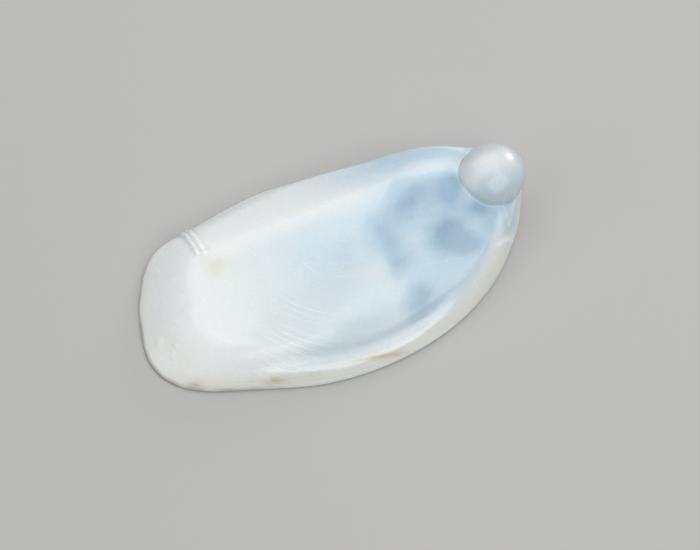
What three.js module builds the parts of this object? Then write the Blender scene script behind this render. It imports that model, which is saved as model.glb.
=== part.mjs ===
// A slipper shell: the small white shell of a limpet-like sea snail, about 10 mm long, lying on its rim.
// It grew as one piece, so it is one solid: a round larval knob at the apex, a low asymmetric back
// that widens from the knob to the rim, a thin wall, and a shelf across the rear half of the hollow.
// Millimetres, +Z up, +X towards the apex, +Y towards the flat side of the outline.
// The origin is under the middle of the shell, on the surface that the rim rests on.
import * as THREE from "three";
import { ParametricGeometry } from "three/addons/geometries/ParametricGeometry.js";
import { mergeVertices } from "three/addons/utils/BufferGeometryUtils.js";

// Rim outline seen from above, anticlockwise from behind the knob.
const rimOutline = [
  [4.92, 0.34], [4.64, 0.95], [3.9, 1.47], [2.7, 2.06], [1.0, 2.32], [-0.7, 2.59], [-2.55, 2.39],
  [-3.7, 2.12], [-4.42, 1.22], [-4.77, 0.35], [-4.92, -0.4], [-4.75, -1.05], [-4.2, -1.6], [-3.1, -2.09],
  [-1.4, -2.69], [0.3, -2.82], [1.9, -2.53], [3.2, -1.88], [4.18, -0.98], [4.66, -0.28],
];

// Back: a low vault that is highest at the crest and falls to the rim height at each reach from it.
const crest = { x: 2.5, y: 0.55 };
const reach = { front: 7.5, rear: 2.5, flatSide: 1.95, fullSide: 3.1 };
const rimHeight = 0.4;
const backRise = 1.05;

// Edge: how far the back takes to slope and round down to the rim, and the rim's own rounding.
const edgeRound = 1.7;
const rimRound = 0.06;

// Marginal roll and the groove inside it, along the full side, where it rises and fades out again.
const roll = { height: 0.15, inset: 0.3, width: 0.19 };
const groove = { depth: 0.07, inset: 0.75, width: 0.32 };
const rollSpan = { starts: -3.6, full: -1.4, fades: 0.4, ends: 2.4 };

// Larval knob: an egg lying towards the rear, and the latitude on it where the back takes over,
// which is highest on the front side, and dips under the knob at the rear.
const knob = { x: 4.09, y: 0.2, z: 1.08, halfLength: 0.87, halfWidth: 0.78, halfHeight: 0.6, heading: 22 };
const suture = { latitude: 2, tilt: 25, rearDip: 30, fairing: 0.3 };

// Wall, and the flat land that the rim rests on, which is wider at the rear.
const wall = 0.22;
const rimLand = { front: 0.22, rear: 0.45 };
const hollowRound = 0.8;
const hollowMiddle = { x: -1.3, y: -0.1 };

// Shelf: its free edge bows back in the middle and is square where it stands clear of the wall,
// and its root takes up part of the hollow's rounding.
const shelf = { front: 0.2, bow: 0.55, halfSpan: 2.4, underside: 0.32, thickness: 0.13 };
const shelfRoot = { low: 32, high: 62, shortest: 0.05, squared: 0.6 };

// Facets.
const spokes = 64;
const rings = { knob: 9, back: 20, edge: 7, wall: 3, shelf: 7, vault: 8 };

const degrees = Math.PI / 180;
const { clamp, lerp, smoothstep } = THREE.MathUtils;
const rim = new THREE.CatmullRomCurve3(
  rimOutline.map(([x, y]) => new THREE.Vector3(x, y, 0)), true, "catmullrom", 0.5);
const knobMiddle = new THREE.Vector3(knob.x, knob.y, knob.z);
const knobHeading = knob.heading * degrees;
const up = new THREE.Vector3(0, 0, 1);

// Height of the plain back over a point of the plan, before its edge is rounded.
function backHeight(x, y) {
  const along = (x - crest.x) / (x < crest.x ? reach.front : reach.rear);
  const across = (y - crest.y) / (y < crest.y ? reach.fullSide : reach.flatSide);
  const fall = (t) => 1 - Math.min(t * t, 1);
  return rimHeight + backRise * fall(along) * fall(across);
}

// Quarter of an ellipse, from 0 at the edge to 1 once the rounding is over.
function quarterRound(distance, span) {
  const left = 1 - clamp(distance / span, 0, 1);
  return Math.sqrt(1 - left * left);
}

// Edge of the back: half as steep at the rim as a quarter of an ellipse.
function edgeProfile(distance, span) {
  const left = 1 - clamp(distance / span, 0, 1);
  return (quarterRound(distance, span) + 1 - left * left) / 2;
}

function bump(distance, { inset, width }) {
  return Math.exp(-(((distance - inset) / width) ** 2));
}

function knobPoint(azimuth, latitude) {
  const along = knob.halfLength * Math.cos(latitude) * Math.cos(azimuth - knobHeading);
  const across = knob.halfWidth * Math.cos(latitude) * Math.sin(azimuth - knobHeading);
  const point = new THREE.Vector3(along, across, knob.halfHeight * Math.sin(latitude));
  return point.applyAxisAngle(up, knobHeading).add(knobMiddle);
}

// Outer line of one spoke, from the top of the knob over the suture and the back to the resting plane.
function outerLine(rimPoint, rolled, landWidth) {
  const line = [];
  const azimuth = Math.atan2(rimPoint.y - knob.y, rimPoint.x - knob.x);
  const rearward = Math.cos(azimuth);
  const dip = suture.rearDip * ((1 + rearward) / 2) ** 2;
  const sutureLatitude = (suture.latitude - suture.tilt * rearward - dip) * degrees;
  for (let i = 0; i < rings.knob; i++)
    line.push(knobPoint(azimuth, lerp(Math.PI / 2, sutureLatitude, i / rings.knob)));

  const start = knobPoint(azimuth, sutureLatitude);
  const length = Math.hypot(start.x - rimPoint.x, start.y - rimPoint.y);
  const round = (edgeRound * length) / (edgeRound + length);
  const plainPoint = (inset) => {
    const point = rimPoint.clone().lerp(start, inset / length);
    const relief = rolled * (roll.height * bump(inset, roll) - groove.depth * bump(inset, groove));
    const top = backHeight(point.x, point.y) + relief - rimRound;
    return point.setZ(rimRound + top * edgeProfile(inset, round));
  };
  const step = start.z - plainPoint(length).z;
  const addAt = (inset) => {
    const point = plainPoint(inset);
    point.z += step * Math.exp((inset - length) / suture.fairing) * quarterRound(inset, length);
    line.push(point);
  };
  const edgeSpan = Math.min(round, length / 2);
  for (let i = 0; i < rings.back; i++) addAt(lerp(length, edgeSpan, i / rings.back));
  for (let i = 0; i <= rings.edge; i++) addAt(edgeSpan * (1 - Math.sin((i / rings.edge) * 90 * degrees)));
  line.push(inward(rimPoint, Math.min(rimRound, landWidth / 3)));
  return line;
}

// The point of the resting plane that lies so far inside the rim, towards the middle of the hollow.
function inward(rimPoint, distance) {
  const towards = new THREE.Vector3(hollowMiddle.x, hollowMiddle.y, 0).sub(rimPoint).normalize();
  return rimPoint.clone().addScaledVector(towards, distance);
}

// How far inside a point of the inner rim the shelf's free edge lies, towards the middle of the hollow.
function shelfReach(foot) {
  const run = foot.x - hollowMiddle.x;
  let share = 0;
  for (let pass = 0; pass < 4; pass++) {
    const y = lerp(foot.y, hollowMiddle.y, share);
    const edge = shelf.front + shelf.bow * (1 - (y / shelf.halfSpan) ** 2);
    share = Math.max(foot.x - edge, 0) / run;
  }
  return share * Math.hypot(run, foot.y - hollowMiddle.y);
}

// Inner line of one spoke: from the resting plane up the wall, out along the shelf and back,
// and over the vault to its middle.
function innerLine(foot) {
  const line = [];
  const middle = new THREE.Vector3(hollowMiddle.x, hollowMiddle.y, 0);
  const length = foot.distanceTo(middle);
  const at = (inset, z) => foot.clone().lerp(middle, inset / length).setZ(z);
  const vault = (inset) => {
    const point = at(inset, 0);
    return backHeight(point.x, point.y) - wall;
  };
  const wallAt = (angle) => {
    const inset = hollowRound * (1 - Math.cos(angle * degrees));
    return { inset, z: vault(inset) * Math.sin(angle * degrees) };
  };
  const addWall = (from, to, last) => {
    for (let i = 0; i < rings.wall + last; i++) {
      const { inset, z } = wallAt(lerp(from, to, i / rings.wall));
      line.push(at(inset, z));
    }
  };
  const low = wallAt(shelfRoot.low);
  const high = wallAt(shelfRoot.high);
  const spread = shelfReach(foot) - high.inset;
  const out = spread > shelfRoot.shortest ? spread : 0;
  const under = out + (high.inset - low.inset) * smoothstep(out, 0, shelfRoot.squared);
  const settled = smoothstep(out, 0, shelf.halfSpan);
  const lipLow = lerp(low.z, shelf.underside, settled);
  const lipHigh = lerp(high.z, shelf.underside + shelf.thickness, settled);

  addWall(0, shelfRoot.low, 1);
  for (let i = 1; i <= rings.shelf; i++) {
    const t = i / rings.shelf;
    line.push(at(low.inset + under * t, lerp(low.z, lipLow, t)));
  }
  for (let i = rings.shelf; i > 0; i--) {
    const t = i / rings.shelf;
    line.push(at(high.inset + out * t, lerp(high.z, lipHigh, t)));
  }
  addWall(shelfRoot.high, 90, 0);
  for (let i = 0; i <= rings.vault; i++) {
    const inset = lerp(hollowRound, length, i / rings.vault);
    line.push(at(inset, vault(inset)));
  }
  return line;
}

// One closed skin over spokes that share their first and last points. Collapsed faces are left out.
function skin(lines) {
  const stops = lines[0].length - 1;
  const surface = (u, v, target) => {
    const line = lines[Math.round((1 - u) * spokes) % spokes];
    target.copy(line[Math.round(v * stops)]);
  };
  const open = new ParametricGeometry(surface, spokes, stops);
  open.deleteAttribute("normal");
  open.deleteAttribute("uv");
  const closed = mergeVertices(open, 1e-3);
  const index = closed.getIndex().array;
  const kept = [];
  for (let i = 0; i < index.length; i += 3) {
    const [a, b, c] = index.subarray(i, i + 3);
    if (a !== b && b !== c && c !== a) kept.push(a, b, c);
  }
  return closed.setIndex(kept);
}

function shellGeometry() {
  const lines = [];
  for (let i = 0; i < spokes; i++) {
    const rimPoint = rim.getPointAt(i / spokes);
    const tangent = rim.getTangentAt(i / spokes);
    const rises = smoothstep(rimPoint.x, rollSpan.starts, rollSpan.full);
    const fades = smoothstep(rimPoint.x, rollSpan.fades, rollSpan.ends);
    const rolled = smoothstep(tangent.x, 0.1, 0.9) * rises * (1 - fades);
    const landWidth = lerp(rimLand.front, rimLand.rear, smoothstep(rimPoint.x, crest.x, knob.x));
    const foot = inward(rimPoint, landWidth);
    lines.push([...outerLine(rimPoint, rolled, landWidth), ...innerLine(foot)]);
  }
  const geometry = skin(lines);
  geometry.computeBoundingBox();
  const middle = geometry.boundingBox.getCenter(new THREE.Vector3());
  geometry.translate(-middle.x, -middle.y, -geometry.boundingBox.min.z);
  geometry.computeVertexNormals();
  return geometry;
}

const shellWhite = new THREE.MeshStandardMaterial({ color: 0xe4e9e8, roughness: 0.28, metalness: 0 });
const shell = new THREE.Mesh(shellGeometry(), shellWhite);
shell.name = "shell";

const slipperShell = new THREE.Group();
slipperShell.add(shell);

export default slipperShell;
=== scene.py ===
import math
import bpy
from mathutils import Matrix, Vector


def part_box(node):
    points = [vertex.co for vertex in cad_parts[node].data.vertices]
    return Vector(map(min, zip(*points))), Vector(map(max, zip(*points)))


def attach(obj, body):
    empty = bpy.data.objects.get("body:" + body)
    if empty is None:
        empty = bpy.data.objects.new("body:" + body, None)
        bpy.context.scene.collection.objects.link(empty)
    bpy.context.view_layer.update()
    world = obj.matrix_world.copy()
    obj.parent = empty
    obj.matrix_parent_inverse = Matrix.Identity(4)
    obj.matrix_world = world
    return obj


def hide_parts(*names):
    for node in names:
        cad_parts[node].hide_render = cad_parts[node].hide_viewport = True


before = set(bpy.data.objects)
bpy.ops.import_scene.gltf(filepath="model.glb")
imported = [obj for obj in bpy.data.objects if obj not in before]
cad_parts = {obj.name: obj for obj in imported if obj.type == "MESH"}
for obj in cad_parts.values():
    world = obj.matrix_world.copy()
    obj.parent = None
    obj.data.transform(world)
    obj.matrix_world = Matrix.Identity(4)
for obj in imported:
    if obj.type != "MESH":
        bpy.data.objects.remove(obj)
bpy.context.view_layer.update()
mmInMetres = 0.001
shellBox = [tuple(round(value, 5) for value in corner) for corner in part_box("shell")]
print("frame loaded,", len(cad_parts), "node, shell box in metres:", *shellBox)


# Node trees written as sums: each step on a Field becomes a Math node, in geometry and in shaders alike.
class Field:
    def __init__(self, tree, socket):
        self.tree = tree
        self.socket = socket

    def __add__(self, other):
        return mathStep("ADD", self, other)

    def __radd__(self, other):
        return mathStep("ADD", other, self)

    def __sub__(self, other):
        return mathStep("SUBTRACT", self, other)

    def __rsub__(self, other):
        return mathStep("SUBTRACT", other, self)

    def __mul__(self, other):
        return mathStep("MULTIPLY", self, other)

    def __rmul__(self, other):
        return mathStep("MULTIPLY", other, self)

    def __truediv__(self, other):
        return mathStep("DIVIDE", self, other)

    def __rtruediv__(self, other):
        return mathStep("DIVIDE", other, self)

    def __pow__(self, other):
        return mathStep("POWER", self, other)


def plug(tree, value, target):
    if isinstance(value, Field):
        tree.links.new(value.socket, target)
    elif isinstance(value, bpy.types.NodeSocket):
        tree.links.new(value, target)
    else:
        target.default_value = value


def addNode(tree, kind, inputs=None, **settings):
    node = tree.nodes.new(kind)
    for name, value in settings.items():
        setattr(node, name, value)
    for name, value in (inputs or {}).items():
        plug(tree, value, node.inputs[name])
    return node


def mathStep(operation, *values):
    tree = next(value.tree for value in values if isinstance(value, Field))
    node = addNode(tree, "ShaderNodeMath", operation=operation)
    for target, value in zip(node.inputs, values):
        plug(tree, value, target)
    return Field(tree, node.outputs[0])


def sine(angle):
    return mathStep("SINE", angle)


def cosine(angle):
    return mathStep("COSINE", angle)


def root(value):
    return mathStep("SQRT", maxOf(value, 0.0))


def floorOf(value):
    return mathStep("FLOOR", value)


def minOf(a, b):
    return mathStep("MINIMUM", a, b)


def maxOf(a, b):
    return mathStep("MAXIMUM", a, b)


def over(a, b):
    return mathStep("GREATER_THAN", a, b)


def unit(value):
    return minOf(maxOf(value, 0.0), 1.0)


def blend(a, b, share):
    return a + (b - a) * share


def smooth(value, low, high):
    span = {"Value": value, "From Min": low, "From Max": high}
    node = addNode(value.tree, "ShaderNodeMapRange", span, interpolation_type="SMOOTHSTEP")
    return Field(value.tree, node.outputs[0])


def fixed(tree, value):  # a plain number as a Field
    node = addNode(tree, "ShaderNodeValue")
    node.outputs[0].default_value = value
    return Field(tree, node.outputs[0])


def makeTool(name, labels, rule):  # a node group of its own, used like a function of numbers and fields
    group = bpy.data.node_groups.new(name, "GeometryNodeTree")
    for label in labels:
        group.interface.new_socket(label, in_out="INPUT", socket_type="NodeSocketFloat")
    group.interface.new_socket("result", in_out="OUTPUT", socket_type="NodeSocketFloat")
    entry = addNode(group, "NodeGroupInput")
    leave = addNode(group, "NodeGroupOutput")
    fields = [Field(group, entry.outputs[label]) for label in labels]
    plug(group, rule(*fields), leave.inputs["result"])

    def use(*values):
        tree = next(value.tree for value in values if isinstance(value, Field))
        node = addNode(tree, "GeometryNodeGroup", node_tree=group)
        for label, value in zip(labels, values):
            plug(tree, value, node.inputs[label])
        return Field(tree, node.outputs["result"])

    return use


def bell(distance):  # 1 in the middle, fading to 0 at about twice the unit distance
    return mathStep("EXPONENT", 0.0 - distance * distance)


def noiseAt(place, perMm, detail, seed):  # -1 to 1
    spec = {"Vector": place, "W": seed, "Scale": perMm, "Detail": detail}
    node = addNode(place.tree, "ShaderNodeTexNoise", spec, noise_dimensions="4D")
    return Field(place.tree, node.outputs[0]) * 2.0 - 1.0


def split(vector):
    node = addNode(vector.tree, "ShaderNodeSeparateXYZ", {0: vector})
    return [Field(vector.tree, output) for output in node.outputs]


def join(x, y, z):
    tree = next(value.tree for value in (x, y, z) if isinstance(value, Field))
    node = addNode(tree, "ShaderNodeCombineXYZ", {"X": x, "Y": y, "Z": z})
    return Field(tree, node.outputs[0])


def strokeRule(x, y, startX, startY, endX, endY):
    runX, runY = endX - startX, endY - startY
    along = unit(((x - startX) * runX + (y - startY) * runY) / (runX * runX + runY * runY))
    offX = x - startX - along * runX
    offY = y - startY - along * runY
    return root(offX * offX + offY * offY)


def spotRule(x, y, middleX, middleY, halfLength, halfWidth, turn):
    angle = turn * math.radians(1)
    along = ((x - middleX) * cosine(angle) + (y - middleY) * sine(angle)) / halfLength
    across = ((y - middleY) * cosine(angle) - (x - middleX) * sine(angle)) / halfWidth
    return mathStep("EXPONENT", 0.0 - along * along - across * across)


def quarterRule(distance, span):
    left = 1.0 - unit(distance / span)
    return root(1.0 - left * left)


def edgeRule(distance, span):  # half as steep at the rim as a quarter of an ellipse
    left = 1.0 - unit(distance / span)
    return (root(1.0 - left * left) + 1.0 - left * left) / 2.0


def backRule(x, y, crestX, crestY, front, rear, flatSide, fullSide, rimHeight, rise):
    along = (x - crestX) / blend(front, rear, over(x, crestX))
    across = (y - crestY) / blend(fullSide, flatSide, over(y, crestY))
    fallAlong = 1.0 - minOf(along * along, 1.0)
    fallAcross = 1.0 - minOf(across * across, 1.0)
    return rimHeight + rise * fallAlong * fallAcross


strokeLabels = ["start x", "start y", "end x", "end y"]
spotLabels = ["middle x", "middle y", "half length", "half width", "turn"]
backLabels = [
    "crest x", "crest y", "reach front", "reach rear", "reach flat side", "reach full side",
    "rim height", "back rise",
]
strokeDistance = makeTool("strokeDistance", ["x", "y", *strokeLabels], strokeRule)
softSpot = makeTool("softSpot", ["x", "y", *spotLabels], spotRule)
quarterRound = makeTool("quarterRound", ["distance", "span"], quarterRule)
edgeProfile = makeTool("edgeProfile", ["distance", "span"], edgeRule)
plainBack = makeTool("plainBack", ["x", "y", *backLabels], backRule)


def backHeight(size, x, y):
    return plainBack(x, y, *[size[label] for label in backLabels])


# Growth threads: thin arcs round the growing front, clear in one part of the back. Each has its own strength.
growthThreads = {
    "centre": (0.4, 0.3), "squash": 1.15, "perMm": 6.5, "sharpness": 8.0, "seed": 11.0,
    "wander": 0.8, "wanderPerMm": 0.7, "patchPerMm": 1.3, "patchy": (-0.3, 0.35),
    "middle": (-1.8, -1.27), "turn": 27.0, "halfLength": 1.5, "halfWidth": 0.7, "elsewhere": 0.03,
}


def threadStrength(tree, place):
    arcs = growthThreads
    seed = arcs["seed"]
    x, y = split(place)[:2]
    outX, outY = x - arcs["centre"][0], (y - arcs["centre"][1]) * arcs["squash"]
    stage = root(outX * outX + outY * outY) * arcs["perMm"]
    stage = stage + noiseAt(place, arcs["wanderPerMm"], 2.0, seed) * arcs["wander"]
    line = floorOf(stage)
    offMiddle = mathStep("ABSOLUTE", stage - line - 0.5) * 2.0
    own = addNode(tree, "ShaderNodeTexWhiteNoise", {"W": line + seed}, noise_dimensions="1D")
    strength = Field(tree, own.outputs["Value"])
    patchy = smooth(noiseAt(place, arcs["patchPerMm"], 2.0, seed + 1.0), *arcs["patchy"])
    turn = math.radians(arcs["turn"])
    x, y = x - arcs["middle"][0], y - arcs["middle"][1]
    along = (x * math.cos(turn) + y * math.sin(turn)) / arcs["halfLength"]
    across = (y * math.cos(turn) - x * math.sin(turn)) / arcs["halfWidth"]
    clear = arcs["elsewhere"] + mathStep("EXPONENT", 0.0 - along * along - across * across)
    return (1.0 - offMiddle) ** arcs["sharpness"] * strength * patchy * clear


# The shell, in millimetres. The rim is drawn as a closed curve, and the tree grows the shell from it:
# knob, back and edge outside, land, wall, shelf and vault inside.
rimOutline = [
    (4.92, 0.34), (4.64, 0.95), (3.9, 1.47), (2.7, 2.06), (1.0, 2.32), (-0.7, 2.59), (-2.55, 2.39),
    (-3.7, 2.12), (-4.42, 1.22), (-4.77, 0.35), (-4.92, -0.4), (-4.75, -1.05), (-4.2, -1.6), (-3.1, -2.09),
    (-1.4, -2.69), (0.3, -2.82), (1.9, -2.53), (3.2, -1.88), (4.18, -0.98), (4.66, -0.28),
]
shellForm = {
    "crest x": 2.5, "crest y": 0.55,
    "reach front": 7.5, "reach rear": 2.5, "reach flat side": 1.95, "reach full side": 3.1,
    "rim height": 0.4, "back rise": 1.05,
    "edge round": 1.7, "rim round": 0.06,
    "roll height": 0.15, "roll inset": 0.3, "roll width": 0.19,
    "roll starts": -3.7, "roll full": -2.0, "roll fades": 0.4, "roll ends": 2.4,
    "groove depth": 0.07, "groove inset": 0.75, "groove width": 0.32,
    "knob x": 4.09, "knob y": 0.2, "knob z": 1.08,
    "knob half length": 0.87, "knob half width": 0.78, "knob half height": 0.6, "knob heading": 22.0,
    "suture latitude": 2.0, "suture tilt": 25.0, "suture rear dip": 30.0, "suture fairing": 0.3,
    "wall": 0.22, "land front": 0.22, "land rear": 0.45,
    "hollow round": 0.8, "hollow x": -1.3, "hollow y": -0.1,
    "shelf front": 0.2, "shelf bow": 0.55, "shelf half span": 2.4,
    "shelf underside": 0.32, "shelf thickness": 0.13,
}
shellRelief = {
    "swell": 0.012, "growth steps": 0.007, "thread height": 0.011,
    "suture bead": 0.009, "suture groove": 0.008, "layer lines": 0.002, "seed": 5.0,
}
shellMesh = {
    "spokes": 360, "knob": 20, "suture": 12, "back": 112, "edge": 64,
    "rim": 4, "land": 2, "wall": 4, "shelf": 10, "lip": 4, "vault": 14,
    "sutureReach": 0.2, "mergeMm": 0.0001, "rimSteps": 60,
    "shelfRootLow": 32.0, "shelfRootHigh": 62.0, "shelfShortest": 0.05, "shelfSquared": 0.6,
    "lipRounds": 0.25, "shelfTurns": 4,
}
# what the sheets are marked with for relief and finish, lengths in millimetres
sheetMarks = {
    "poleCrowding": 1.5, "knobArc": 1.25, "farAway": 5.0, "outer": (0.05, 0.2), "knob": (0.0, -0.06),
    "fullSideTangent": (0.1, 0.9),
}
# share of the spokes against share of the rim: they crowd at the healed notch and the chipped front
spokeCrowding = [(0.0, 0.0), (0.24, 0.335), (0.42, 0.385), (0.64, 0.56), (1.0, 1.0)]


def knobPoint(size, azimuth, latitude):
    heading = size["knob heading"] * math.radians(1)
    along = size["knob half length"] * cosine(latitude) * cosine(azimuth - heading)
    across = size["knob half width"] * cosine(latitude) * sine(azimuth - heading)
    x = size["knob x"] + along * cosine(heading) - across * sine(heading)
    y = size["knob y"] + along * sine(heading) + across * cosine(heading)
    return x, y, size["knob z"] + size["knob half height"] * sine(latitude)


def chain(ring, pieces):  # one value along a spoke, from pieces that each cover so many rings
    value = None
    first = 0
    for count, rule in pieces:
        here = rule(unit((ring - first) / count))
        value = here if value is None else blend(value, here, over(ring, first + 0.5))
        first += count
    return value


def newSheet(tree, rings):  # a grid of spokes and rings, still flat
    spokes = shellMesh["spokes"]
    grid = addNode(tree, "GeometryNodeMeshGrid", {"Vertices X": spokes + 1, "Vertices Y": rings + 1})
    index = Field(tree, addNode(tree, "GeometryNodeInputIndex").outputs[0])
    spoke = floorOf(index / (rings + 1.0))
    ring = index - spoke * (rings + 1.0)
    return grid.outputs["Mesh"], spoke, ring


def setMarks(tree, geometry, marks):
    for name, value in marks.items():
        store = addNode(tree, "GeometryNodeStoreNamedAttribute", {"Geometry": geometry, "Name": name})
        plug(tree, value, store.inputs["Value"])
        geometry = store.outputs[0]
    return geometry


def setShape(tree, geometry, x, y, z, marks):  # marks a sheet for relief and finish, and puts it in its place
    placed = {"Geometry": setMarks(tree, geometry, marks), "Position": join(x, y, z)}
    return addNode(tree, "GeometryNodeSetPosition", placed).outputs[0]


def rimAt(tree, rim, spoke):  # plan of the rim at a spoke, and how far it belongs to the full side
    curve = addNode(tree, "ShaderNodeFloatCurve")
    points = curve.mapping.curves[0].points
    for place, value in spokeCrowding[1:-1]:
        points.new(place, value)
    for point in points:
        point.handle_type = "VECTOR"
    curve.mapping.update()
    plug(tree, mathStep("MODULO", spoke, shellMesh["spokes"]) / shellMesh["spokes"], curve.inputs["Value"])
    along = {"Curves": rim, "Factor": curve.outputs[0]}
    sample = addNode(tree, "GeometryNodeSampleCurve", along, use_all_curves=True)
    x, y = split(Field(tree, sample.outputs["Position"]))[:2]
    leaning = split(Field(tree, sample.outputs["Tangent"]))[0]
    return x, y, smooth(leaning, *sheetMarks["fullSideTangent"])


def sutureAt(size, rimX, rimY):  # azimuth and latitude on the knob where this spoke leaves it
    azimuth = mathStep("ARCTAN2", rimY - size["knob y"], rimX - size["knob x"])
    rearward = cosine(azimuth)
    dip = size["suture rear dip"] * ((1.0 + rearward) / 2.0) ** 2.0
    latitude = (size["suture latitude"] - size["suture tilt"] * rearward - dip) * math.radians(1)
    return azimuth, latitude


def knobSheet(tree, size, rim):
    rings = shellMesh["knob"]
    geometry, spoke, ring = newSheet(tree, rings)
    rimX, rimY, fullSide = rimAt(tree, rim, spoke)
    azimuth, latitude = sutureAt(size, rimX, rimY)
    climb = (1.0 - ring / rings) ** sheetMarks["poleCrowding"]
    x, y, z = knobPoint(size, azimuth, blend(latitude, math.radians(90), climb))
    marks = {
        "growth": 0.0, "fromSuture": 0.0 - climb * sheetMarks["knobArc"], "inset": sheetMarks["farAway"],
        "fullSide": fullSide, "outer": 1.0,
    }
    return setShape(tree, geometry, x, y, z, marks)


def backSheet(tree, size, rim):
    mesh = shellMesh
    geometry, spoke, ring = newSheet(tree, mesh["suture"] + mesh["back"] + mesh["edge"])
    rimX, rimY, fullSide = rimAt(tree, rim, spoke)
    startX, startY, startZ = knobPoint(size, *sutureAt(size, rimX, rimY))
    length = root((startX - rimX) * (startX - rimX) + (startY - rimY) * (startY - rimY))
    edge = size["edge round"] * length / (size["edge round"] + length)
    edgeSpan = minOf(edge, length / 2.0)
    rises = smooth(rimX, size["roll starts"], size["roll full"])
    rolled = fullSide * rises * smooth(rimX, size["roll ends"], size["roll fades"])

    def plainPoint(inset):
        x = blend(rimX, startX, inset / length)
        y = blend(rimY, startY, inset / length)
        roll = size["roll height"] * bell((inset - size["roll inset"]) / size["roll width"])
        groove = size["groove depth"] * bell((inset - size["groove inset"]) / size["groove width"])
        top = backHeight(size, x, y) + rolled * (roll - groove) - size["rim round"]
        return x, y, size["rim round"] + top * edgeProfile(inset, edge)

    nearSuture = length - minOf(length / 4.0, mesh["sutureReach"])
    inset = chain(ring, [
        (mesh["suture"], lambda t: blend(length, nearSuture, t)),
        (mesh["back"], lambda t: blend(nearSuture, edgeSpan, t)),
        (mesh["edge"], lambda t: edgeSpan * (1.0 - sine(t * math.radians(90)))),
    ])
    step = startZ - plainPoint(length)[2]
    x, y, z = plainPoint(inset)
    fairing = mathStep("EXPONENT", (inset - length) / size["suture fairing"])
    z = z + step * fairing * quarterRound(inset, length)
    marks = {
        "growth": 1.0 - inset / length, "fromSuture": length - inset, "inset": inset,
        "fullSide": fullSide, "outer": smooth(z, *sheetMarks["outer"]),
    }
    return setShape(tree, geometry, x, y, z, marks)


def hollowSheet(tree, size, rim):
    mesh = shellMesh
    counts = ["rim", "land", "wall", "shelf", "lip", "shelf", "wall", "vault"]
    geometry, spoke, ring = newSheet(tree, sum(mesh[name] for name in counts))
    rimX, rimY, fullSide = rimAt(tree, rim, spoke)
    land = blend(size["land front"], size["land rear"], smooth(rimX, size["crest x"], size["knob x"]))
    toMiddleX = size["hollow x"] - rimX
    toMiddleY = size["hollow y"] - rimY
    length = root(toMiddleX * toMiddleX + toMiddleY * toMiddleY)

    def plan(distance):
        return rimX + toMiddleX * distance / length, rimY + toMiddleY * distance / length

    def vault(distance):
        return backHeight(size, *plan(distance)) - size["wall"]

    def wallAt(angle):
        distance = land + size["hollow round"] * (1.0 - cosine(angle))
        return distance, vault(distance) * sine(angle)

    footX, footY = plan(land)
    run = footX - size["hollow x"]
    share = fixed(tree, 0.0)
    for turn in range(mesh["shelfTurns"]):  # the free edge bows, so its distance is found in a few turns
        y = blend(footY, size["hollow y"], share)
        bow = 1.0 - (y / size["shelf half span"]) * (y / size["shelf half span"])
        share = maxOf(footX - size["shelf front"] - size["shelf bow"] * bow, 0.0) / run
    lowAngle, highAngle = math.radians(mesh["shelfRootLow"]), math.radians(mesh["shelfRootHigh"])
    low, lowZ = wallAt(fixed(tree, lowAngle))
    high, highZ = wallAt(fixed(tree, highAngle))
    spread = share * (length - land) - (high - land)
    out = spread * over(spread, mesh["shelfShortest"])
    under = out + (high - low) * smooth(out, 0.0, mesh["shelfSquared"])
    settled = smooth(out, 0.0, size["shelf half span"])
    lipLow = blend(lowZ, size["shelf underside"], settled)
    lipHigh = blend(highZ, size["shelf underside"] + size["shelf thickness"], settled)
    lipRound = (lipHigh - lipLow) / 2.0 * minOf(out / mesh["lipRounds"], 1.0)
    corner = minOf(size["rim round"], land / 3.0)
    right = math.radians(90)
    distance = chain(ring, [
        (mesh["rim"], lambda t: corner * (1.0 - cosine(t * right))),
        (mesh["land"], lambda t: blend(corner, land, t)),
        (mesh["wall"], lambda t: wallAt(t * lowAngle)[0]),
        (mesh["shelf"], lambda t: low + under * t),
        (mesh["lip"], lambda t: blend(low + under, high + out, t) + lipRound * sine(t * right * 2.0)),
        (mesh["shelf"], lambda t: high + out * (1.0 - t)),
        (mesh["wall"], lambda t: wallAt(blend(highAngle, right, t))[0]),
        (mesh["vault"], lambda t: blend(land + size["hollow round"], length, t)),
    ])
    z = chain(ring, [
        (mesh["rim"], lambda t: size["rim round"] * (1.0 - sine(t * right))),
        (mesh["land"], lambda t: fixed(tree, 0.0)),
        (mesh["wall"], lambda t: wallAt(t * lowAngle)[1]),
        (mesh["shelf"], lambda t: blend(lowZ, lipLow, t)),
        (mesh["lip"], lambda t: blend(lipHigh, lipLow, 0.5 + cosine(t * right * 2.0) / 2.0)),
        (mesh["shelf"], lambda t: blend(lipHigh, highZ, t)),
        (mesh["wall"], lambda t: wallAt(blend(highAngle, right, t))[1]),
        (mesh["vault"], lambda t: vault(blend(land + size["hollow round"], length, t))),
    ])
    x, y = plan(distance)
    marks = {
        "growth": 1.0, "fromSuture": sheetMarks["farAway"], "inset": 0.0 - distance,
        "fullSide": fullSide, "outer": 0.0,
    }
    return setShape(tree, geometry, x, y, z, marks)


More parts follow.
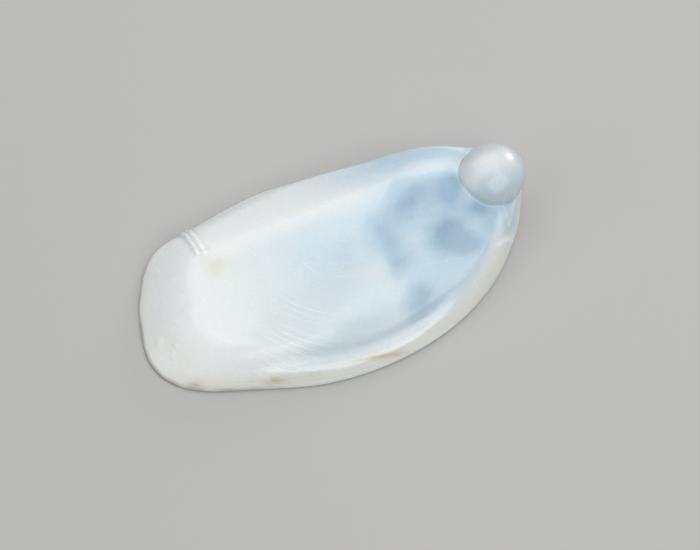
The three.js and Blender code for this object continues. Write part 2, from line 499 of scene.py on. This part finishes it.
# Marks of the shell's life, placed in plan in the frame's millimetres. A stroke is its start and its end.
healedNotch = {
    "ridges": [((-2.87, 2.4), (-2.9, 1.44)), ((-2.755, 2.4), (-2.77, 1.38))],
    "height": 0.06, "width": 0.042,
    "grooves": [((-2.81, 2.4), (-2.83, 1.45)), ((-2.97, 2.4), (-3.0, 1.65)), ((-2.67, 2.4), (-2.68, 1.45))],
    "depth": 0.022, "grooveWidth": 0.045,
}
knobWrinkles = {
    "strokes": [
        ((4.04, -0.475), (3.98, -0.855)), ((4.38, -0.375), (3.99, -0.875)),
        ((4.18, -0.475), (4.02, -0.735)), ((3.5, -1.28), (4.01, -1.0)),
    ],
    "height": 0.016, "width": 0.028,
}
flakes = {  # middle x, y, half length, half width, turn; a flake stands proud and ends in a sharp edge
    "spots": [
        (-4.56, -0.015, 0.13, 0.09, 70.0), (-4.45, -0.535, 0.09, 0.05, 60.0),
        (-4.3, -0.375, 0.06, 0.04, 20.0),
    ],
    "height": 0.012, "edge": (0.3, 0.45),
}
# where the relief lies: distances from suture and rim in millimetres, noise per millimetre
reliefSpread = {
    "back": (0.0, 0.5), "swellPerMm": 0.55,
    "stepsPerGrowth": 9.0, "stepsAtKnob": 0.5, "stepsStrengthen": (0.3, 0.9),
    "bead": 0.03, "beadWidth": 0.024, "groove": -0.05, "grooveWidth": 0.06,
    "layerRadiansPerMm": 75.0, "layerNoisePerMm": 0.9, "layerWander": 2.5, "layerInset": (0.28, 0.1),
}


def markOf(tree, name):
    node = addNode(tree, "GeometryNodeInputNamedAttribute", {"Name": name})
    return Field(tree, node.outputs[0])


def ridgesAt(x, y, strokes, width):
    return sum(bell(strokeDistance(x, y, *start, *end) / width) for start, end in strokes)


def reliefAt(tree, size, place):
    spread = reliefSpread
    seed = size["seed"]
    x, y, z = split(place)
    growth, fromSuture = markOf(tree, "growth"), markOf(tree, "fromSuture")
    inset, fullSide = markOf(tree, "inset"), markOf(tree, "fullSide")
    onBack = smooth(fromSuture, *spread["back"])
    height = noiseAt(place, spread["swellPerMm"], 2.0, seed) * size["swell"] * onBack
    steps = noiseAt(join(growth * spread["stepsPerGrowth"], 0.0, 0.0), 1.0, 3.0, seed + 1.0)
    steps = steps * (spread["stepsAtKnob"] + smooth(growth, *spread["stepsStrengthen"]))
    height = height + steps * size["growth steps"] * onBack
    height = height + threadStrength(tree, place) * size["thread height"] * onBack
    height = height + bell((fromSuture - spread["bead"]) / spread["beadWidth"]) * size["suture bead"]
    height = height - bell((fromSuture - spread["groove"]) / spread["grooveWidth"]) * size["suture groove"]
    wander = noiseAt(place, spread["layerNoisePerMm"], 1.0, seed + 2.0) * spread["layerWander"]
    layers = sine(z * spread["layerRadiansPerMm"] + wander)
    height = height + layers * size["layer lines"] * fullSide * smooth(inset, *spread["layerInset"])
    notch, wrinkles = healedNotch, knobWrinkles
    height = height + ridgesAt(x, y, notch["ridges"], notch["width"]) * notch["height"]
    height = height - ridgesAt(x, y, notch["grooves"], notch["grooveWidth"]) * notch["depth"]
    height = height + ridgesAt(x, y, wrinkles["strokes"], wrinkles["width"]) * wrinkles["height"]
    for spot in flakes["spots"]:
        height = height + smooth(softSpot(x, y, *spot), *flakes["edge"]) * flakes["height"]
    return height * markOf(tree, "outer")


# Soft patches of tint on the back, placed in plan in the frame's millimetres. In the groove along the near
# rim, the grey band and a few blue spots are painted shade.
# The spots at (1.22, -1.8), (-0.3, -1.965) and (-1.2, -1.915), along the near rim, are blue with painted
# shade of the groove there.
blueAndShadeSpots = [  # middle x, y, half length, half width, turn in degrees, strength
    (2.01, 0.345, 0.75, 0.42, 20.0, 0.5), (1.11, -0.215, 0.3, 0.5, 10.0, 0.32),
    (2.53, -0.755, 0.45, 0.4, 30.0, 0.8), (2.92, 0.095, 0.3, 0.35, 0.0, 0.55),
    (3.2, 0.425, 0.3, 0.25, 0.0, 0.5), (3.47, -0.375, 0.25, 0.18, 0.0, 0.6),
    (1.22, -1.8, 0.4, 0.26, 20.0, 0.68), (1.15, -0.945, 0.38, 0.28, 0.0, 0.36),
    (2.88, -1.085, 0.35, 0.3, 0.0, 0.35), (0.0, -0.115, 0.9, 0.6, 0.0, 0.16),
    (-0.83, 0.305, 0.6, 0.5, 0.0, 0.12), (-0.3, -1.965, 0.7, 0.22, 5.0, 0.18),
    (-1.2, -1.915, 0.5, 0.2, -10.0, 0.14), (-0.5, -0.6, 1.0, 0.6, 0.0, 0.06),
    (3.6, -0.865, 0.35, 0.3, 0.0, 0.25),
]
paleSpots = [
    (1.69, -0.615, 0.4, 0.25, 30.0, 0.1), (2.84, -0.345, 0.35, 0.2, 40.0, 0.06),
    (3.3, -0.845, 0.3, 0.22, 0.0, 0.14), (2.78, 0.985, 0.7, 0.25, -10.0, 0.35),
    (0.6, 1.085, 1.1, 0.35, -5.0, 0.3), (0.5, -0.865, 0.4, 0.25, 0.0, 0.2),
]
# Painted shade: a grey-blue band in the groove along the near rim, above the roll.
grooveShadeSpots = [(-0.4, -1.97, 1.3, 0.32, 3.0, 0.85)]
creamSpots = [
    (-2.68, 0.885, 0.28, 0.24, 0.0, 1.0), (-2.8, 1.205, 0.18, 0.1, 0.0, 0.5),
    (-4.35, -0.265, 0.25, 0.2, 0.0, 0.45), (-4.5, 0.485, 0.2, 0.5, 0.0, 0.25),
    (-4.2, -0.815, 0.35, 0.3, 0.0, 0.3),
]
amberSpots = [
    (-4.28, -1.38, 0.16, 0.08, -25.0, 0.7), (-2.54, -2.09, 0.24, 0.06, -19.0, 0.75),
    (-0.1, -2.545, 0.62, 0.045, -10.0, 0.8),
]
# The stroke on the raised ridge along the right margin, from (3.5, -1.28) to (4.01, -1.0), is a painted
# highlight; the others whiten the knob wrinkles, the notch ridges and two scratches.
chalkAndGlintStrokes = [  # start, end, half width, strength
    (*knobWrinkles["strokes"][0], 0.022, 0.25), (*knobWrinkles["strokes"][1], 0.022, 0.25),
    (*healedNotch["ridges"][0], 0.04, 0.9), (*healedNotch["ridges"][1], 0.04, 1.0),
    (*knobWrinkles["strokes"][3], 0.03, 0.6),
    ((1.69, -1.175), (3.11, -1.435), 0.014, 0.12), ((2.08, -0.325), (2.84, -0.345), 0.014, 0.1),
]
# noise that bends the outlines of the patches and breaks up their tint
patchEdges = {"wanderPerMm": 1.6, "wander": 0.22, "grainPerMm": 5.0, "seed": 21.0}
# blue grows towards the knob in two steps, each from x, to x, by how much, and stays off the thick edge
blueSpread = {
    "steps": [(-3.4, 1.2, 0.3), (0.4, 2.4, 0.22)], "grain": 0.12,
    "edge": (0.2, 0.95), "rear": (3.3, 4.2), "rearEdge": (-0.05, 0.12),
}
creamEdge = {"inset": (0.5, 0.05), "allRound": 0.25, "fullSide": 0.35, "grain": 0.4, "lostAtRear": 0.8}


def patches(x, y, spots):
    return sum(softSpot(x, y, *spot) * strength for *spot, strength in spots)


def onKnob(fromSuture):
    return smooth(fromSuture, *sheetMarks["knob"])


def tintMarks(tree, place):  # how blue, cream, amber and chalky the shell is at each point, with painted shade in the groove along the near rim and a painted highlight on a ridge at the right margin
    straightX, straightY = split(place)[:2]
    inset, fullSide, outer = markOf(tree, "inset"), markOf(tree, "fullSide"), markOf(tree, "outer")
    offKnob = 1.0 - onKnob(markOf(tree, "fromSuture"))
    seed = patchEdges["seed"]
    x = straightX + noiseAt(place, patchEdges["wanderPerMm"], 2.0, seed) * patchEdges["wander"]
    y = straightY + noiseAt(place, patchEdges["wanderPerMm"], 2.0, seed + 1.0) * patchEdges["wander"]
    grain = noiseAt(place, patchEdges["grainPerMm"], 4.0, seed + 2.0)
    broad = sum(smooth(straightX, low, high) * share for low, high, share in blueSpread["steps"])
    thinAndShade = broad + patches(x, y, blueAndShadeSpots) - patches(x, y, paleSpots)
    rear = smooth(straightX, *blueSpread["rear"])
    insideEdge = maxOf(smooth(inset, *blueSpread["edge"]), rear * smooth(inset, *blueSpread["rearEdge"]))
    edge = smooth(inset, *creamEdge["inset"]) * (creamEdge["allRound"] + creamEdge["fullSide"] * fullSide)
    edge = edge * (1.0 + grain * creamEdge["grain"]) * (1.0 - rear * creamEdge["lostAtRear"])
    chalkAndGlint = sum(
        ridgesAt(straightX, straightY, [(start, end)], halfWidth) * strength
        for start, end, halfWidth, strength in chalkAndGlintStrokes
    )
    return {
        "thinAndShade": unit(thinAndShade * insideEdge * (1.0 + grain * blueSpread["grain"])) * offKnob * outer,
        "grooveShade": unit(patches(x, y, grooveShadeSpots)) * outer,
        "cream": unit(patches(x, y, creamSpots) + edge) * outer,
        "amber": unit(patches(straightX, straightY, amberSpots) * (1.0 + grain)) * outer,
        "chalkAndGlint": unit(chalkAndGlint) * outer,
    }


def closeSkin(tree, size, geometry):  # closes seams and poles, and puts the middle of the box over the origin
    merge = {"Geometry": geometry, "Distance": shellMesh["mergeMm"]}
    closed = addNode(tree, "GeometryNodeMergeByDistance", merge).outputs[0]
    outward = addNode(tree, "GeometryNodeFlipFaces", {"Mesh": closed}).outputs[0]
    box = addNode(tree, "GeometryNodeBoundBox", {"Geometry": outward})
    low = split(Field(tree, box.outputs["Min"]))
    high = split(Field(tree, box.outputs["Max"]))
    toMiddle = join(0.0 - (low[0] + high[0]) / 2.0, 0.0 - (low[1] + high[1]) / 2.0, 0.0 - low[2])
    return addNode(tree, "GeometryNodeSetPosition", {"Geometry": outward, "Offset": toMiddle}).outputs[0]


def raiseRelief(tree, size, geometry):
    place = Field(tree, addNode(tree, "GeometryNodeInputPosition").outputs[0])
    normal = split(Field(tree, addNode(tree, "GeometryNodeInputNormal").outputs[0]))
    height = reliefAt(tree, size, place)
    offset = join(*[height * part for part in normal])
    return addNode(tree, "GeometryNodeSetPosition", {"Geometry": geometry, "Offset": offset}).outputs[0]


def setTints(tree, size, geometry):
    place = Field(tree, addNode(tree, "GeometryNodeInputPosition").outputs[0])
    return setMarks(tree, geometry, tintMarks(tree, place))


# One stage of the growth, in a node group of its own. Every stage takes a tree, all the sizes and a geometry.
def addStage(tree, size, geometry, rule):
    group = bpy.data.node_groups.new(rule.__name__, "GeometryNodeTree")
    group.interface.new_socket("geometry", in_out="INPUT", socket_type="NodeSocketGeometry")
    group.interface.new_socket("geometry", in_out="OUTPUT", socket_type="NodeSocketGeometry")
    for label in size:
        group.interface.new_socket(label, in_out="INPUT", socket_type="NodeSocketFloat")
    entry = addNode(group, "NodeGroupInput")
    leave = addNode(group, "NodeGroupOutput")
    inner = {label: Field(group, entry.outputs[label]) for label in size}
    group.links.new(rule(group, inner, entry.outputs["geometry"]), leave.inputs[0])
    node = addNode(tree, "GeometryNodeGroup", {"geometry": geometry}, node_tree=group)
    for label, value in size.items():
        plug(tree, value, node.inputs[label])
    return node.outputs[0]


def buildGrowthTree():
    tree = bpy.data.node_groups.new("shellGrowth", "GeometryNodeTree")
    tree.is_modifier = True
    tree.interface.new_socket("rim", in_out="INPUT", socket_type="NodeSocketGeometry")
    tree.interface.new_socket("shell", in_out="OUTPUT", socket_type="NodeSocketGeometry")
    settings = {}
    for name, value in {**shellForm, **shellRelief}.items():
        socket = tree.interface.new_socket(name, in_out="INPUT", socket_type="NodeSocketFloat")
        settings[socket.identifier] = value
    finishSocket = tree.interface.new_socket("finish", in_out="INPUT", socket_type="NodeSocketMaterial")
    entry = addNode(tree, "NodeGroupInput")
    size = {name: Field(tree, entry.outputs[name]) for name in {**shellForm, **shellRelief}}

    drawn = {"Curve": entry.outputs["rim"]}
    rim = addNode(tree, "GeometryNodeCurveSplineType", drawn, spline_type="CATMULL_ROM")
    fine = {"Geometry": rim.outputs[0], "Resolution": shellMesh["rimSteps"]}
    rimCurve = addNode(tree, "GeometryNodeSetSplineResolution", fine).outputs[0]
    joined = addNode(tree, "GeometryNodeJoinGeometry")
    for sheet in (knobSheet, backSheet, hollowSheet):
        tree.links.new(addStage(tree, size, rimCurve, sheet), joined.inputs[0])
    skin = joined.outputs[0]
    for stage in (closeSkin, setTints, raiseRelief):
        skin = addStage(tree, size, skin, stage)
    scaled = addNode(tree, "GeometryNodeTransform", {"Geometry": skin, "Scale": (mmInMetres,) * 3}).outputs[0]
    smoothed = addNode(tree, "GeometryNodeSetShadeSmooth", {"Geometry": scaled}).outputs[0]
    realized = addNode(tree, "GeometryNodeRealizeInstances", {"Geometry": smoothed}).outputs[0]
    coat = {"Geometry": realized, "Material": entry.outputs["finish"]}
    finished = addNode(tree, "GeometryNodeSetMaterial", coat).outputs[0]
    leave = addNode(tree, "NodeGroupOutput")
    tree.links.new(finished, leave.inputs[0])
    return tree, settings, finishSocket.identifier


def growShell(finish):
    curve = bpy.data.curves.new("shellRim", "CURVE")
    curve.dimensions = "3D"
    spline = curve.splines.new("POLY")
    spline.points.add(len(rimOutline) - 1)
    for point, (x, y) in zip(spline.points, rimOutline):
        point.co = (x, y, 0, 1)
    spline.use_cyclic_u = True
    rimObject = bpy.data.objects.new("shellRim", curve)
    bpy.context.scene.collection.objects.link(rimObject)
    tree, settings, finishInput = buildGrowthTree()
    modifier = rimObject.modifiers.new("shellGrowth", "NODES")
    modifier.node_group = tree
    for identifier, value in settings.items():
        modifier[identifier] = value
    modifier[finishInput] = finish
    depsgraph = bpy.context.evaluated_depsgraph_get()
    mesh = bpy.data.meshes.new_from_object(rimObject.evaluated_get(depsgraph), depsgraph=depsgraph)
    rimObject.modifiers.remove(modifier)
    bpy.data.objects.remove(rimObject)
    mesh.name = "slipperShell"
    piece = bpy.data.objects.new("slipperShell", mesh)
    bpy.context.scene.collection.objects.link(piece)
    print("shell grown:", len(mesh.vertices), "points,", len(mesh.polygons), "faces")
    return piece


# Finish of the shell: porcelain white, blue where the shell is thinner, a grey-blue knob, cream and amber at
# the rim; painted shade on the knob's sides and in the groove along the near rim, and a painted highlight on
# a ridge at the right margin.
shellTints = {
    "white": (0.80, 0.83, 0.82), "paleBlue": (0.58, 0.72, 0.80), "deepBlue": (0.30, 0.45, 0.56),
    "cream": (0.78, 0.77, 0.63), "amber": (0.58, 0.47, 0.27), "brown": (0.22, 0.13, 0.07),
    "lavender": (0.55, 0.58, 0.62), "nearShadeBlue": (0.46, 0.58, 0.64), "grooveShade": (0.52, 0.62, 0.64),
    "frontWhite": (0.88, 0.89, 0.87), "chalkAndGlint": (0.97, 0.98, 0.97), "speck": (0.16, 0.12, 0.08),
}
shellGloss = {
    "roughness": 0.27, "uneven": 0.05, "unevenPerMm": 3.0, "rimRougher": 0.06, "rimInset": (0.3, 0.0),
    "ior": 1.55, "subsurface": 0.3, "scatterRadius": (1.0, 0.85, 0.7), "scatterMm": 0.35,
    "coat": 0.3, "coatRoughness": 0.1, "seed": 25.0,
}
shellGrain = {  # fine bumps that are too small for the mesh
    "perMm": 14.0, "height": 0.06, "beadHeight": 0.5, "strength": 0.25, "depthMm": 0.01, "seed": 26.0,
}
# how strongly the blue, the threads and the bead at the suture show
tintGain = {"pale": 2.0, "deep": 1.6, "deepFrom": 0.6, "threads": 2.2, "bead": 0.16, "beadWidth": 0.018}
# spans below are from, to along x, y or the inset from the rim, in the frame's millimetres
# Painted shade on the knob: darker towards its far side, rear and near side, over a grey-lavender tone all
# over it.
knobShade = {
    "all": 0.42, "farSide": (0.55, 0.85), "farShade": 0.5, "rear": (4.55, 4.85), "rearShade": 0.6,
    "nearSide": (0.3, -0.25), "nearShade": 0.8,
}
frontEnd = {"front": (-1.5, -4.0), "farSide": (0.7, 1.4), "farFront": (1.4, -0.8)}
wornRim = {
    "upper": (0.07, 0.02), "lower": (-0.03, 0.0), "front": (-1.5, -3.5), "strength": 0.42,
    "patchPerMm": 2.2, "patchy": (-0.5, 0.3), "seed": 24.0,
}
darkSpecks = [  # place on the surface, half size, strength
    ((-3.49, -0.175, 0.79), 0.026, 0.6), ((-3.5, -0.115, 0.79), 0.018, 0.5),
    ((-3.16, -0.075, 0.86), 0.024, 0.4), ((-2.54, 0.975, 0.98), 0.026, 0.4),
    ((-0.65, -0.015, 1.24), 0.026, 0.35), ((-0.77, -0.605, 1.15), 0.024, 0.3),
    ((-2.61, -2.085, 0.54), 0.026, 0.6),
]
chalkSpecks = [((-1.78, 0.685, 1.12), 0.03, 1.0), ((-3.3, 1.765, 0.72), 0.03, 0.8)]
speckCore = 0.4  # share of a speck's half size that is at full strength


def tinted(tree, base, tint, share):
    node = addNode(tree, "ShaderNodeMix", {"Factor": share}, data_type="RGBA")
    plug(tree, base, node.inputs["A"])
    plug(tree, (*shellTints[tint], 1.0), node.inputs["B"])
    return node.outputs["Result"]


def specks(tree, place, spots):
    total = 0.0
    for middle, halfSize, strength in spots:
        gap = addNode(tree, "ShaderNodeVectorMath", {0: place, 1: middle}, operation="DISTANCE")
        total = total + smooth(Field(tree, gap.outputs["Value"]), halfSize, halfSize * speckCore) * strength
    return total


def shellPorcelain():
    material = bpy.data.materials.new("shellPorcelain")
    material.use_nodes = True
    tree = material.node_tree
    shader = tree.nodes["Principled BSDF"]

    def mark(name):
        node = addNode(tree, "ShaderNodeAttribute", attribute_name=name)
        return Field(tree, node.outputs["Fac"])

    fromSuture, inset, outer, thinAndShade = mark("fromSuture"), mark("inset"), mark("outer"), mark("thinAndShade")
    inMetres = addNode(tree, "ShaderNodeTexCoord").outputs["Object"]
    toMm = addNode(tree, "ShaderNodeMapping", {"Vector": inMetres, "Scale": (1 / mmInMetres,) * 3})
    place = Field(tree, toMm.outputs[0])
    x, y = split(place)[:2]

    # Blue where the shell is thinner, with painted shade in the spots along the near rim.
    colour = tinted(tree, (*shellTints["white"], 1.0), "paleBlue", unit(thinAndShade * tintGain["pale"]))
    colour = tinted(tree, colour, "deepBlue", unit(thinAndShade * tintGain["deep"] - tintGain["deepFrom"]))
    knob = onKnob(fromSuture)
    # painted shade on the knob's far side and rear, over its grey-lavender tone
    shaded = knobShade["all"] + knobShade["farShade"] * smooth(y, *knobShade["farSide"])
    shaded = shaded + knobShade["rearShade"] * smooth(x, *knobShade["rear"])
    colour = tinted(tree, colour, "lavender", knob * unit(shaded))
    # painted shade on the knob's near side, blue-grey
    nearSide = smooth(y, *knobShade["nearSide"]) * knobShade["nearShade"]
    colour = tinted(tree, colour, "nearShadeBlue", knob * nearSide)
    # painted shade in the groove along the near rim
    colour = tinted(tree, colour, "grooveShade", mark("grooveShade"))
    front = smooth(x, *frontEnd["front"]) + smooth(y, *frontEnd["farSide"]) * smooth(x, *frontEnd["farFront"])
    colour = tinted(tree, colour, "frontWhite", unit(front))
    colour = tinted(tree, colour, "cream", mark("cream"))
    colour = tinted(tree, colour, "amber", mark("amber"))
    threads = threadStrength(tree, place) * outer
    bead = bell((fromSuture - reliefSpread["bead"]) / tintGain["beadWidth"])
    # the white marks include a painted highlight along a ridge at the right margin
    chalkAndGlint = threads * tintGain["threads"] + bead * tintGain["bead"] + mark("chalkAndGlint")
    colour = tinted(tree, colour, "chalkAndGlint", unit(chalkAndGlint + specks(tree, place, chalkSpecks)))
    colour = tinted(tree, colour, "speck", unit(specks(tree, place, darkSpecks)))
    worn = smooth(inset, *wornRim["upper"]) * smooth(inset, *wornRim["lower"]) * smooth(x, *wornRim["front"])
    patchy = smooth(noiseAt(place, wornRim["patchPerMm"], 3.0, wornRim["seed"]), *wornRim["patchy"])
    colour = tinted(tree, colour, "brown", worn * patchy * wornRim["strength"])
    tree.links.new(colour, shader.inputs["Base Color"])

    uneven = noiseAt(place, shellGloss["unevenPerMm"], 4.0, shellGloss["seed"]) * shellGloss["uneven"]
    rim = smooth(inset, *shellGloss["rimInset"]) * shellGloss["rimRougher"]
    fine = noiseAt(place, shellGrain["perMm"], 3.0, shellGrain["seed"]) * shellGrain["height"]
    bump = addNode(tree, "ShaderNodeBump", {
        "Height": fine + threads + bead * shellGrain["beadHeight"],
        "Strength": shellGrain["strength"], "Distance": shellGrain["depthMm"] * mmInMetres,
    })
    surface = {
        "Roughness": shellGloss["roughness"] + uneven + rim, "Normal": bump.outputs[0],
        "IOR": shellGloss["ior"], "Subsurface Weight": shellGloss["subsurface"],
        "Subsurface Radius": shellGloss["scatterRadius"],
        "Subsurface Scale": shellGloss["scatterMm"] * mmInMetres,
        "Coat Weight": shellGloss["coat"], "Coat Roughness": shellGloss["coatRoughness"],
    }
    for name, value in surface.items():
        plug(tree, value, shader.inputs[name])
    print("finish ready:", material.name)
    return material


# Studio: pale floor, soft lights, long lens. Sizes in millimetres, turned into metres where they are used.
studio = {
    "floorSide": 400.0, "floorTint": (0.50, 0.49, 0.47), "floorRoughness": 0.85,
    "worldTint": (0.9, 0.95, 1.0), "worldStrength": 0.3,
}
studioLights = [  # name, plan direction and elevation in degrees, distance, size, power in watts, tint
    ("frontSoftbox", -64.0, 52.0, 120.0, 110.0, 0.078, (1.0, 1.0, 0.99)),
    ("topSoftbox", 80.0, 60.0, 110.0, 110.0, 0.05, (0.97, 0.99, 1.0)),
    ("leftSoftbox", 172.0, 40.0, 130.0, 110.0, 0.022, (1.0, 1.0, 1.0)),
    ("glintSoftbox", 28.0, 17.0, 90.0, 20.0, 0.015, (1.0, 0.99, 0.97)),
]
cameraRig = {
    "azimuth": -25.0, "elevation": 60.0, "lens": 400.0, "sensor": 36.0,
    "imageWidthPx": 700.0, "pxPerMm": 43.0, "aim": (0.25, -0.15, 0.03), "clip": (10.0, 10000.0),
}


def buildStudio():
    half = studio["floorSide"] / 2 * mmInMetres
    floorMesh = bpy.data.meshes.new("paleFloor")
    corners = [(-half, -half, 0), (half, -half, 0), (half, half, 0), (-half, half, 0)]
    floorMesh.from_pydata(corners, [], [(0, 1, 2, 3)])
    floor = bpy.data.objects.new("paleFloor", floorMesh)
    bpy.context.scene.collection.objects.link(floor)
    paint = bpy.data.materials.new("paleFloorPaint")
    paint.use_nodes = True
    shader = paint.node_tree.nodes["Principled BSDF"]
    shader.inputs["Base Color"].default_value = (*studio["floorTint"], 1.0)
    shader.inputs["Roughness"].default_value = studio["floorRoughness"]
    floorMesh.materials.append(paint)
    world = bpy.data.worlds.new("softRoom")
    world.use_nodes = True
    sky = world.node_tree.nodes["Background"]
    sky.inputs["Color"].default_value = (*studio["worldTint"], 1.0)
    sky.inputs["Strength"].default_value = studio["worldStrength"]
    bpy.context.scene.world = world
    for name, azimuth, elevation, distance, side, power, tint in studioLights:
        light = bpy.data.lights.new(name, "AREA")
        light.energy = power
        light.size = side * mmInMetres
        light.color = tint
        lamp = bpy.data.objects.new(name, light)
        a, e = math.radians(azimuth), math.radians(elevation)
        towards = Vector((math.cos(a) * math.cos(e), math.sin(a) * math.cos(e), math.sin(e)))
        lamp.location = towards * distance * mmInMetres
        lamp.rotation_euler = towards.to_track_quat("Z", "Y").to_euler()
        bpy.context.scene.collection.objects.link(lamp)
    bpy.context.scene.view_settings.view_transform = "Standard"


def buildCamera():
    a, e = math.radians(cameraRig["azimuth"]), math.radians(cameraRig["elevation"])
    back = Vector((math.sin(a) * math.cos(e), -math.cos(a) * math.cos(e), math.sin(e)))
    seenWidth = cameraRig["imageWidthPx"] / cameraRig["pxPerMm"]
    distance = seenWidth * cameraRig["lens"] / cameraRig["sensor"]
    data = bpy.data.cameras.new("longLens")
    data.lens = cameraRig["lens"]
    data.sensor_width = cameraRig["sensor"]
    data.clip_start, data.clip_end = [distance * mmInMetres for distance in cameraRig["clip"]]
    camera = bpy.data.objects.new("longLens", data)
    camera.location = (Vector(cameraRig["aim"]) + back * distance) * mmInMetres
    camera.rotation_euler = back.to_track_quat("Z", "Y").to_euler()
    bpy.context.scene.collection.objects.link(camera)
    bpy.context.scene.camera = camera


buildCamera()
buildStudio()
print("camera and studio ready")

shellPiece = growShell(shellPorcelain())
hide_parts("shell")
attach(shellPiece, "root")
